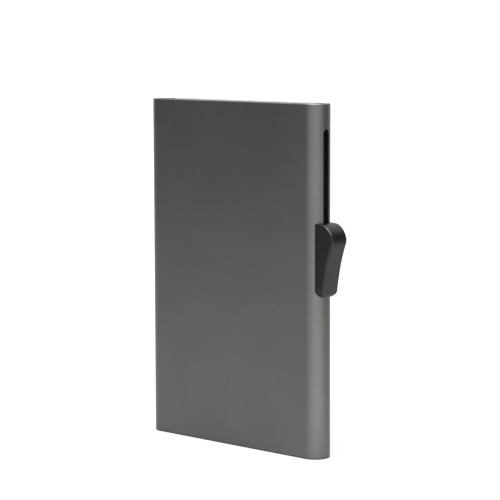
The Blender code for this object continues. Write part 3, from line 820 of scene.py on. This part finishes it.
def sleeve_tree():
    """An outline with round ends swept with the wall's profile, then cut by a slot with broken edges."""
    tree, given = geometry_tree(
        "sleeve", Object=["Wall profile"], Int=["Round steps"], Material=["Finish"],
        Float=["Width", "Depth", "Slot half width", "Slot bottom", "Slot top", "Slot edge"],
    )
    half = times(tree, given["Depth"], 0.5)
    outline = rounded_rectangle(tree, given["Width"], given["Depth"], half, given["Round steps"])
    points = joined(tree, output(tree, "GeometryNodeCurveToMesh", {"Curve": outline}))
    ring = with_normal(tree, output(tree, "GeometryNodeMeshToCurve", {"Mesh": points}))
    shell = joined(tree, sweep(tree, ring, shape_of(tree, given["Wall profile"])))

    double = times(tree, given["Slot half width"], 2)
    tall = minus(tree, given["Slot top"], given["Slot bottom"])
    middle = times(tree, plus(tree, given["Slot top"], given["Slot bottom"]), 0.5)
    slot = rounded_rectangle(tree, double, tall, given["Slot half width"], SLOT_END_STEPS)
    axis_x = minus(tree, times(tree, given["Width"], 0.5), half)
    through = vector(tree, z=given["Depth"])
    line = with_normal(tree, output(tree, "GeometryNodeCurvePrimitiveLine", {"End": through}))
    stood = {
        "Geometry": sweep(tree, line, slot, True),
        "Translation": vector(tree, x=axis_x, z=middle),
        "Rotation": (math.pi / 2, 0, math.pi / 2),
    }
    bar = output(tree, "GeometryNodeTransform", stood)

    across, up, _ = axes(tree, output(tree, "GeometryNodeInputPosition"))
    squares = minus(tree, times(tree, half, half), times(tree, across, across))
    outer_x = plus(tree, axis_x, maths(tree, "SQRT", squares))
    on_round = vector(tree, outer_x, across, plus(tree, up, middle))
    edge = with_normal(tree, set_position(tree, slot, on_round), (1, 0, 0))
    diamond = {"Resolution": 4, "Radius": given["Slot edge"]}
    breaker = joined(tree, sweep(tree, edge, output(tree, "GeometryNodeCurvePrimitiveCircle", diamond)))
    solids = {"Mesh 1": shell, "Mesh 2": [bar, breaker]}
    cut = output(tree, "GeometryNodeMeshBoolean", solids, operation="DIFFERENCE", solver="EXACT")
    end_tree(tree, cut, given["Finish"])
    return tree


def make_sleeve(finish):
    line = bpy.data.curves.new("wall_profile", "CURVE")
    points = wall_profile()
    spline = line.splines.new("POLY")
    spline.points.add(len(points) - 1)
    for point, (inset, height) in zip(spline.points, points):
        point.co = (-inset, -height, 0, 1)  # the sweep sets a section half a turn round
    spline.use_cyclic_u = True
    profile = add_object("wall_profile", line)
    values = {
        "Width": 2 * half_width, "Depth": 2 * half_depth, "Wall profile": profile,
        "Round steps": ROUND_STEPS, "Slot half width": SLOT_HALF_WIDTH,
        "Slot bottom": SLOT_BOTTOM, "Slot top": SLOT_TOP, "Slot edge": SLOT_EDGE_BREAK,
        "Finish": finish,
    }
    mesh = grow(sleeve_tree(), values)
    bpy.data.objects.remove(profile)
    return add_piece("sleeve", mesh, finish, "case", ["case_sleeve"])


# Thumb piece
def knob_profile():
    """The thumb piece's outer edge from the side, as (x, z): a toe, a hollow thumb face and a dome."""
    dome = (half_width + KNOB_REACH - KNOB_DOME_RADIUS, knob_high.z - KNOB_DOME_RADIUS)
    toe = (half_width + KNOB_TOE_REACH - KNOB_TOE_RADIUS, knob_low.z + KNOB_TOE_RADIUS)
    across, up = dome[0] - toe[0], dome[1] - toe[1]
    shrink = (KNOB_DOME_RADIUS - KNOB_TOE_RADIUS) / math.hypot(across, up)
    lean = math.degrees(math.atan2(across, up) + math.asin(shrink))
    toe_end, dome_start = lean - KNOB_FACE_BEND / 2, lean + KNOB_FACE_BEND / 2
    land_x = half_width + SADDLE_GAP + KNOB_LAND
    toe_start = math.degrees(math.acos((land_x - toe[0]) / KNOB_TOE_RADIUS))
    dome_end = math.degrees(math.acos((land_x - dome[0]) / KNOB_DOME_RADIUS))
    lower = arc(toe, KNOB_TOE_RADIUS, -toe_start, -toe_end, KNOB_TOE_STEPS)
    upper = arc(dome, KNOB_DOME_RADIUS, -dome_start, dome_end, KNOB_DOME_STEPS)
    low_slope, high_slope = math.tan(math.radians(toe_end)), math.tan(math.radians(dome_start))
    (low_x, low_z), (high_x, high_z) = lower[-1], upper[0]
    meet_z = (high_x - low_x - high_slope * high_z + low_slope * low_z) / (low_slope - high_slope)
    meet_x = low_x + low_slope * (meet_z - low_z)
    points = (lower[-1], (meet_x, meet_z), upper[0])
    face = []
    for i in range(1, KNOB_FACE_STEPS):
        share = i / KNOB_FACE_STEPS
        weights = ((1 - share) ** 2, 2 * share * (1 - share), share**2)
        face.append(tuple(sum(w * p[k] for w, p in zip(weights, points)) for k in (0, 1)))
    return lower + face + upper


def knob_ring(x, z):
    """A level section of the thumb piece, with marks at each point of how worn its edge and face are, which
    also place a painted highlight on the dome's edge and a painted sheen on the thumb face.
    """
    half = KNOB_WIDTH / 2
    half -= corner_inset(z - knob_low.z, KNOB_TOE_CORNER)
    half -= corner_inset(knob_high.z - z, KNOB_TOP_CORNER)
    share = (z - knob_low.z) / (knob_high.z - knob_low.z)
    tip = half - math.tan(math.radians(KNOB_DRAFT)) * max(x - half_width, 0)
    saddle = half_depth + SADDLE_GAP
    reach = math.asin(half / saddle)
    wall_x = round_x + saddle * math.cos(reach)
    room = min(tip, x - wall_x) * KNOB_EDGE_LIMIT
    radius = min(at_height(share, KNOB_EDGE_HEIGHTS, KNOB_EDGE_RADII), room)
    reach = math.degrees(reach)
    points = arc((round_x, 0), saddle, reach, -reach, KNOB_SADDLE_STEPS)
    points += arc((x - radius, radius - tip), radius, -90, 0, KNOB_EDGE_STEPS)
    points += arc((x - radius, tip - radius), radius, 0, 90, KNOB_EDGE_STEPS)
    # Marks for a painted highlight on the dome's edge and a painted sheen on the thumb face, along with
    # their wear
    rubbed_and_lit = at_height(share, KNOB_RUB_AND_HIGHLIGHT_HEIGHTS, KNOB_RUB_AND_HIGHLIGHT_SHARES)
    thumbed_and_sheened = at_height(share, KNOB_THUMB_RUB_AND_SHEEN_HEIGHTS, KNOB_THUMB_RUB_AND_SHEEN_SHARES)
    turns = [i / KNOB_EDGE_STEPS for i in range(KNOB_EDGE_STEPS + 1)]
    corner = [(math.sin(math.pi * turn) * rubbed_and_lit, turn * thumbed_and_sheened) for turn in turns]
    marks = [(0, 0)] * (KNOB_SADDLE_STEPS + 1) + corner + corner[::-1]
    return [(u, v, z) for u, v in points], marks


def cell(point):
    """A place to the nearest merging distance, to find a point of a mesh again after it is cut."""
    return tuple(round(value / MERGE) for value in point)


def make_thumb_slider(finish):
    """The thumb piece with its tongue, which passes through the slot to two pins."""
    sections = [knob_ring(x, z) for x, z in knob_profile()]
    body = mesh_from(loft([ring for ring, marks in sections]))
    bottom, top, shoulder = TONGUE_BOTTOM, TONGUE_TOP, TONGUE_SHOULDER
    neck_x, root_x = BLADE_HIGH_X + SADDLE_GAP, half_width + SADDLE_GAP + TONGUE_ROOT
    tongue = [
        (neck_x, bottom), (root_x, bottom), (root_x, top), (neck_x, top),
        (neck_x, top - shoulder), (BLADE_LOW_X, top - shoulder),
        (BLADE_LOW_X, bottom + shoulder), (neck_x, bottom + shoulder),
    ]
    parts = [("UNION", slab(tongue, -BLADE_THICKNESS / 2, BLADE_THICKNESS / 2))]
    for name in ("knob_pin_lower", "knob_pin_upper"):
        low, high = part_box(name)
        middle = ((low.x + high.x) / 2, (low.z + high.z) / 2)
        hole = circle(middle, PIN_HOLE_RADIUS, PIN_SIDES)
        parts.append(("DIFFERENCE", slab(hole, -KNOB_WIDTH, KNOB_WIDTH)))
    mesh = combined(body, parts)
    worn = {}
    for ring, marks in sections:
        worn.update(zip(map(cell, ring), marks))
    # The marks carry wear as well as the painted highlight on the edge and the painted sheen on the face
    edge, face = (mesh.attributes.new(name, "FLOAT", "POINT") for name in ("edge_rub", "thumb_rub"))
    for point, rubbed_and_lit, thumbed_and_sheened in zip(mesh.vertices, edge.data, face.data):
        rubbed_and_lit.value, thumbed_and_sheened.value = worn.get(cell(point.co), (0, 0))
    add_piece("thumb_slider", mesh, finish, "carriage", ["slider_knob"])


# Inner pieces
def softened(node, name, finish, body, radius, lead_in):
    """A copy of a frame piece with softly rounded edges and, where asked, a lead-in for the cards."""
    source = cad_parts[node]
    bm = bmesh.new()
    bm.from_mesh(source.data)
    bm.transform(source.matrix_world)
    bmesh.ops.remove_doubles(bm, verts=bm.verts, dist=CLEAR)
    bmesh.ops.dissolve_limit(
        bm, angle_limit=math.radians(FLAT_DEGREES), verts=bm.verts, edges=bm.edges
    )
    if lead_in:
        low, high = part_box(node)
        side = math.copysign(1, high.x + low.x)
        inner = min(abs(low.x), abs(high.x)) * side
        slope = Vector((-side * LEAD_IN_SLOPE, 0, 1)).normalized()
        start = Vector((inner + side * lead_in, 0, high.z))
        cut = bmesh.ops.bisect_plane(
            bm, geom=[*bm.verts, *bm.edges, *bm.faces], plane_co=start, plane_no=slope, clear_outer=True
        )
        rim = [item for item in cut["geom_cut"] if isinstance(item, bmesh.types.BMEdge)]
        bmesh.ops.holes_fill(bm, edges=rim, sides=0)
    piece = add_piece(name, mesh_from(bm), finish, body, [node])
    bevel = piece.modifiers.new("soft edges", "BEVEL")
    bevel.width = radius
    bevel.segments = BEVEL_STEPS
    bevel.limit_method = "ANGLE"
    bevel.angle_limit = math.radians(BEVEL_DEGREES)
    bevel.use_clamp_overlap = True
    piece.modifiers.move(1, 0)


def leaf_tree():
    """A thin strip swept along a path that rises from one foot to a crest and falls to the other."""
    tree, given = geometry_tree(
        "leaf_spring", Vector=["Turn", "Place"], Material=["Finish"],
        Float=["Low", "High", "Foot", "Rise", "Thickness", "Width", "Corner"],
    )
    line = output(tree, "GeometryNodeCurvePrimitiveLine", {"End": (0, 0, 1)})
    points = output(tree, "GeometryNodeResampleCurve", {"Curve": line, "Count": LEAF_STEPS})
    share = output(tree, "GeometryNodeSplineParameter", which="Factor")
    span = minus(tree, given["High"], given["Low"])
    along = times(tree, share, span)
    free = minus(tree, span, times(tree, given["Foot"], 2))
    past_foot = maths(tree, "DIVIDE", minus(tree, along, given["Foot"]), free)
    bowed = output(tree, "ShaderNodeClamp", {"Value": past_foot})
    wave = maths(tree, "COSINE", times(tree, bowed, 2 * math.pi))
    half_rise = times(tree, given["Rise"], 0.5)
    bow = times(tree, minus(tree, 1, wave), half_rise)
    place = vector(tree, x=bow, z=plus(tree, along, given["Low"]))
    path = with_normal(tree, set_position(tree, points, place), (0, 1, 0))
    strip = rounded_rectangle(
        tree, given["Width"], given["Thickness"], given["Corner"], LEAF_CORNER_STEPS
    )
    moved = {
        "Geometry": sweep(tree, path, strip, True), "Translation": given["Place"], "Rotation": given["Turn"]
    }
    end_tree(tree, output(tree, "GeometryNodeTransform", moved), given["Finish"])
    return tree


def make_leaf_springs(finish):
    """The edge springs bow towards the cards, and the detent spring bows along -Y from its runner."""
    tree = leaf_tree()
    shared = {"Foot": LEAF_FOOT, "Thickness": LEAF_THICKNESS, "Corner": LEAF_CORNER, "Finish": finish}
    for node, body in (
        ("edge_spring_lower", "case"), ("edge_spring_upper", "case"), ("detent_spring", "carriage")
    ):
        low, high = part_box(node)
        middle = (low + high) / 2
        half_leaf = LEAF_THICKNESS / 2
        if body == "case":
            turn, width, reach = 0, high.y - low.y, high.x - low.x
            place = (low.x + half_leaf, middle.y, 0)
        else:
            turn, width, reach = -math.pi / 2, high.x - low.x, high.y - low.y
            place = (middle.x, high.y - half_leaf, 0)
        values = {
            **shared, "Low": low.z, "High": high.z, "Rise": reach - LEAF_THICKNESS,
            "Width": width, "Turn": (0, 0, turn), "Place": place,
        }
        mesh = outward(grow(tree, values))
        add_piece(node.replace("spring", "leaf"), mesh, finish, body, [node])


def pins_tree():
    """A pin on each point, each rolled by its own amount."""
    tree, given = geometry_tree(
        "joint_pins", Geometry=["Geometry"], Object=["Pin"], Int=["Seed"], Material=["Finish"]
    )
    turns = {2: 0.0, 3: 2 * math.pi, "Seed": given["Seed"]}
    roll = output(tree, "FunctionNodeRandomValue", turns, 1, data_type="FLOAT")
    placed = {
        "Points": given["Geometry"], "Instance": shape_of(tree, given["Pin"]),
        "Rotation": vector(tree, y=roll),
    }
    end_tree(tree, output(tree, "GeometryNodeInstanceOnPoints", placed), given["Finish"])
    return tree


def make_joint_pins(finish):
    """Four ground pins with crowned ends, set where the frame has them."""
    nodes = ["ejector_dowel_lower", "ejector_dowel_upper", "knob_pin_lower", "knob_pin_upper"]
    boxes = [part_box(node) for node in nodes]
    low, high = boxes[0]
    radius, half_length = (high.x - low.x) / 2, (high.y - low.y) / 2
    profile = [
        (radius * PIN_FLAT_SHARE, half_length),
        (radius - PIN_CHAMFER, half_length - PIN_CROWN),
        (radius - PIN_CHAMFER / 3, half_length - PIN_CHAMFER / 2),
        (radius, half_length - PIN_CHAMFER),
    ]
    profile += [(across, -along) for across, along in reversed(profile)]
    rings = [
        [(x, along, z) for x, z in circle((0, 0), across, PIN_SIDES)] for across, along in profile
    ]
    pin = add_object("pin", mesh_from(loft(rings)))
    places = bpy.data.meshes.new("pin_places")
    places.from_pydata([(low + high) / 2 for low, high in boxes], [], [])
    mesh = grow(pins_tree(), {"Pin": pin, "Seed": PIN_SEED, "Finish": finish}, places)
    bpy.data.objects.remove(pin)
    add_piece("joint_pins", outward(mesh), finish, "carriage", nodes)


# Felt strips and their nap
def felt_stations(half):
    """Grid lines across a strip, closer together at its rounded corners."""
    inner = half - FELT_CORNER_RADIUS
    count = math.ceil(2 * inner / FELT_CELL)
    corner = [FELT_CORNER_RADIUS * i / FELT_CORNER_STEPS for i in range(FELT_CORNER_STEPS)]
    middle = [-inner + 2 * inner * i / count for i in range(count + 1)]
    return [step - half for step in corner] + middle + [half - step for step in reversed(corner)]


def felt_point(across, up, half_across, half_up):
    """A grid point drawn in at the strip's corners so that the square corner becomes a round one."""
    over = Vector((
        max(abs(across) - half_across + FELT_CORNER_RADIUS, 0),
        max(abs(up) - half_up + FELT_CORNER_RADIUS, 0),
    ))
    if min(over) <= 0:
        return across, up
    drawn = over * (max(over) / over.length)
    across -= math.copysign(over.x - drawn.x, across)
    up -= math.copysign(over.y - drawn.y, up)
    return across, up


def felt_strip(low, high, half_across, half_up, side, seed):
    """A round-cornered strip in its box, flat on its glued side (-1 front, 1 rear), with an uneven face."""
    middle = (low + high) / 2
    back, face = (low.y, high.y) if side < 0 else (high.y, low.y)
    columns, rows = felt_stations(half_across), felt_stations(half_up)
    bm = bmesh.new()
    layers = []
    for is_face in (True, False):
        grid = []
        for across in columns:
            line = []
            for up in rows:
                x, z = felt_point(across, up, half_across, half_up)
                y = back
                if is_face:
                    rim = min(half_across - abs(across), half_up - abs(up))
                    wave = noise.noise(Vector((x, seed, z)) / FELT_WAVE_SIZE)
                    drop = corner_inset(rim, FELT_EDGE_RADIUS) + FELT_WAVE * (1 + wave) / 2
                    y = face + side * drop
                line.append(bm.verts.new((x + middle.x, y, z + middle.z)))
            grid.append(line)
        layers.append(grid)
    last_i, last_j = len(columns) - 1, len(rows) - 1
    for grid in layers:
        for i in range(last_i):
            for j in range(last_j):
                bm.faces.new((grid[i][j], grid[i + 1][j], grid[i + 1][j + 1], grid[i][j + 1]))
    rim = [(i, 0) for i in range(last_i)] + [(last_i, j) for j in range(last_j)]
    rim += [(i, last_j) for i in range(last_i, 0, -1)] + [(0, j) for j in range(last_j, 0, -1)]
    front, rear = layers
    for (i, j), (k, l) in zip(rim, rim[1:] + rim[:1]):
        bm.faces.new((front[i][j], front[k][l], rear[k][l], rear[i][j]))
    return mesh_from(bm)


def face_of(mesh, side):
    """A copy of a strip's face alone, for the nap to grow on."""
    ground = mesh.copy()
    bm = bmesh.new()
    bm.from_mesh(ground)
    away = [f for f in bm.faces if f.normal.y * side > -NAP_FACING]
    bmesh.ops.delete(bm, geom=away, context="FACES")
    bm.to_mesh(ground)
    bm.free()
    return ground


def nap_fibre():
    """One bent fibre that thins towards its tip."""
    rings = []
    for shift, height, share in NAP_RINGS:
        triangle = circle((shift * NAP_BEND * NAP_LENGTH, 0), NAP_RADIUS * share, 3)
        rings.append([(x, y, height * NAP_LENGTH) for x, y in triangle])
    return add_object("fibre", mesh_from(loft(rings)))


def nap_tree():
    """Short fibres that stand out of the felt, leaning at random."""
    tree, given = geometry_tree(
        "felt_nap", Geometry=["Geometry"], Object=["Fibre"], Float=["Density", "Lean"],
        Int=["Seed"], Material=["Finish"],
    )
    seed, lean = given["Seed"], given["Lean"]
    spots = add_node(
        tree, "GeometryNodeDistributePointsOnFaces",
        {"Mesh": given["Geometry"], "Density": given["Density"], "Seed": seed},
        distribute_method="RANDOM",
    ).outputs
    other = times(tree, lean, -1)
    leans = {0: vector(tree, other, other), 1: vector(tree, lean, lean, 2 * math.pi), "Seed": seed}
    turn = output(tree, "FunctionNodeRandomValue", leans, data_type="FLOAT_VECTOR")
    turns = {0: spots["Rotation"], 1: turn}
    smallest, largest = NAP_SCALES
    scales = {2: smallest, 3: largest, "Seed": seed}
    placed = {
        "Points": spots["Points"],
        "Instance": shape_of(tree, given["Fibre"]),
        "Rotation": output(tree, "FunctionNodeRotateRotation", turns, rotation_space="LOCAL"),
        "Scale": output(tree, "FunctionNodeRandomValue", scales, 1, data_type="FLOAT"),
    }
    end_tree(tree, output(tree, "GeometryNodeInstanceOnPoints", placed), given["Finish"])
    return tree


def make_felt_strips(finish):
    """Two uneven felt strips glued inside the mouth, each with its nap as a piece of its own."""
    fibre = nap_fibre()
    tree = nap_tree()
    for seed, (node, side) in enumerate((("front_felt_strip", -1), ("rear_felt_strip", 1))):
        low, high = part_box(node)
        half_across, half_up = (high.x - low.x) / 2, (high.z - low.z) / 2
        mesh = felt_strip(low, high, half_across, half_up, side, seed)
        ground = face_of(mesh, side)
        strip_name, nap_name = node.replace("felt_strip", "felt"), node.replace("felt_strip", "nap")
        strip = add_piece(strip_name, mesh, finish, "case", [node], FELT_SHARP_DEGREES)
        values = {
            "Fibre": fibre, "Density": NAP_PER_SQUARE_METRE, "Lean": NAP_LEAN, "Seed": seed + NAP_SEED,
            "Finish": finish,
        }
        nap_mesh = grow(tree, values, ground)
        nap = add_piece(nap_name, nap_mesh, finish, "case", [], NAP_SHARP_DEGREES)
    bpy.data.objects.remove(fibre)


set_camera()
set_world()
add_softbox("key_softbox", **KEY_BOX)
add_softbox("top_softbox", **TOP_BOX)
add_floor()
add_shade("left_shade", **LEFT_SHADE)
add_shade("right_shade", **RIGHT_SHADE)

finishes = {
    "anodised_aluminium": make_anodised(),
    "black_moulding": make_moulding("knob_black", **KNOB_BLACK, rubs_and_highlights=KNOB_RUBS_AND_HIGHLIGHTS, Specular_Tint=KNOB_TINT),
    "grey_moulding": make_moulding("grey_moulding", **GREY_MOULDING),
    "acetal": make_moulding("acetal", **ACETAL),
    "spring_steel": make_steel(),
    "felt": make_felt(),
    "rubber": make_rubber(),
}

sleeve = make_sleeve(finishes["anodised_aluminium"])
make_thumb_slider(finishes["black_moulding"])
for node, name, body, slot, radius, lead_in in SOFTENED_PIECES:
    softened(node, name, finishes[slot], body, radius, lead_in)
make_leaf_springs(finishes["spring_steel"])
make_joint_pins(finishes["spring_steel"])
make_felt_strips(finishes["felt"])

bpy.context.scene.view_settings.view_transform = "Standard"
